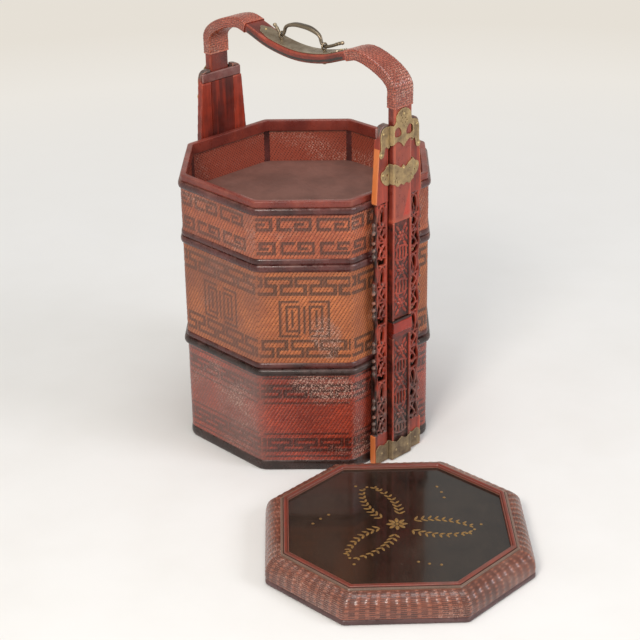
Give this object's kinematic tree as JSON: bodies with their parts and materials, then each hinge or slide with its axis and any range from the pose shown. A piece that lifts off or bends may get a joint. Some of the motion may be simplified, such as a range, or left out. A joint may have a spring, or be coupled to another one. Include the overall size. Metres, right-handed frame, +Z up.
{
  "type": "wedding basket",
  "caption": "Tall octagonal stacking basket with woven trays, carved uprights, a bentwood handle with a brass bail, and a lid lying beside it.",
  "frame": {"origin": "middle of the basket's underside, on the surface that it stands on", "axes": "+Z up, X from the back upright to the front upright in the plane of the handle, Y across it; the lid lies beside the basket towards +X and -Y"},
  "size_m": [0.7525, 0.553, 0.6247],
  "materials": {
    "dark_lacquer": "worn dark lacquer on wood",
    "brown_lacquer": "satin purple-brown lacquer on wood",
    "red_lacquer": "satin red lacquer on wood",
    "bright_red_lacquer": "bright red lacquer on wood",
    "orange_weave": "lacquered split bamboo weave",
    "pale_weave": "lacquered split bamboo weave",
    "red_weave": "lacquered split bamboo weave",
    "lid_weave": "ribbed bamboo weave",
    "floor_wood": "matt grey-brown board",
    "black_lacquer": "glossy black lacquer with gilt decoration",
    "cane": "lacquered cane wrap",
    "brass": "aged dull brass",
    "bronze": "dark patinated brass"
  },
  "bodies": {
    "frame_and_bottom_tray": {"base_band": "dark_lacquer", "bottom_woven_wall": "red_weave", "bottom_shoulder_rail": "dark_lacquer", "bottom_collar": "red_lacquer", "bottom_inner_frame": "brown_lacquer", "bottom_floor_board": "floor_wood", "front_right_wing": "red_lacquer", "front_left_wing": "red_lacquer", "front_cross_strip": "brown_lacquer", "front_back_board": "brown_lacquer", "front_cleat": "dark_lacquer", "front_base_peg": "bright_red_lacquer", "front_shoulder_peg": "bright_red_lacquer", "front_lower_carved_board": "red_lacquer", "front_separator_block": "bright_red_lacquer", "front_upper_carved_board": "red_lacquer", "front_cap_plate": "brass", "front_butterfly_plate": "brass", "front_foot_plate": "brass", "back_right_wing": "red_lacquer", "back_left_wing": "red_lacquer", "back_cross_strip": "brown_lacquer", "back_back_board": "brown_lacquer", "back_cleat": "dark_lacquer", "back_base_peg": "bright_red_lacquer", "back_shoulder_peg": "bright_red_lacquer", "back_lower_carved_board": "red_lacquer", "back_separator_block": "bright_red_lacquer", "back_upper_carved_board": "red_lacquer", "back_cap_plate": "brass", "back_butterfly_plate": "brass", "back_foot_plate": "brass", "bentwood_handle": "red_lacquer", "front_cane_wrap": "cane", "back_cane_wrap": "cane", "saddle_plate": "brass", "saddle_back_nail": "brass", "saddle_front_nail": "brass", "back_eye_post": "bronze", "front_eye_post": "bronze"},
    "middle_tray": {"middle_lower_rail": "brown_lacquer", "middle_woven_wall": "pale_weave", "middle_shoulder_rail": "brown_lacquer", "middle_collar": "red_lacquer", "middle_inner_frame": "brown_lacquer", "middle_floor_board": "floor_wood"},
    "top_tray": {"top_lower_rail": "brown_lacquer", "top_woven_wall": "orange_weave", "top_shoulder_rail": "brown_lacquer", "top_rim": "red_lacquer", "top_inner_frame": "brown_lacquer", "top_floor_board": "floor_wood"},
    "lid": {"lid_rim": "dark_lacquer", "lid_woven_skirt": "lid_weave", "lid_panel": "black_lacquer", "lid_moulding": "bright_red_lacquer", "lid_inner_ring": "brown_lacquer"},
    "bail": {"bail": "bronze"}
  },
  "joints": [
    {"name": "middle_tray_lift", "type": "slide", "parent": "frame_and_bottom_tray", "child": "middle_tray", "axis": [0, 0, 1], "range_m": [0, 0.04]},
    {"name": "top_tray_lift", "type": "slide", "parent": "middle_tray", "child": "top_tray", "axis": [0, 0, 1], "range_m": [0, 0.09]},
    {"name": "lid_lift", "type": "slide", "parent": "frame_and_bottom_tray", "child": "lid", "axis": [0, 0, 1], "range_m": [0, 0.12]},
    {"name": "bail_swing", "type": "hinge", "parent": "frame_and_bottom_tray", "child": "bail", "pos_m": [0, 0, 0.6004], "axis": [1, 0, 0], "range_deg": [-48, 48]}
  ]
}
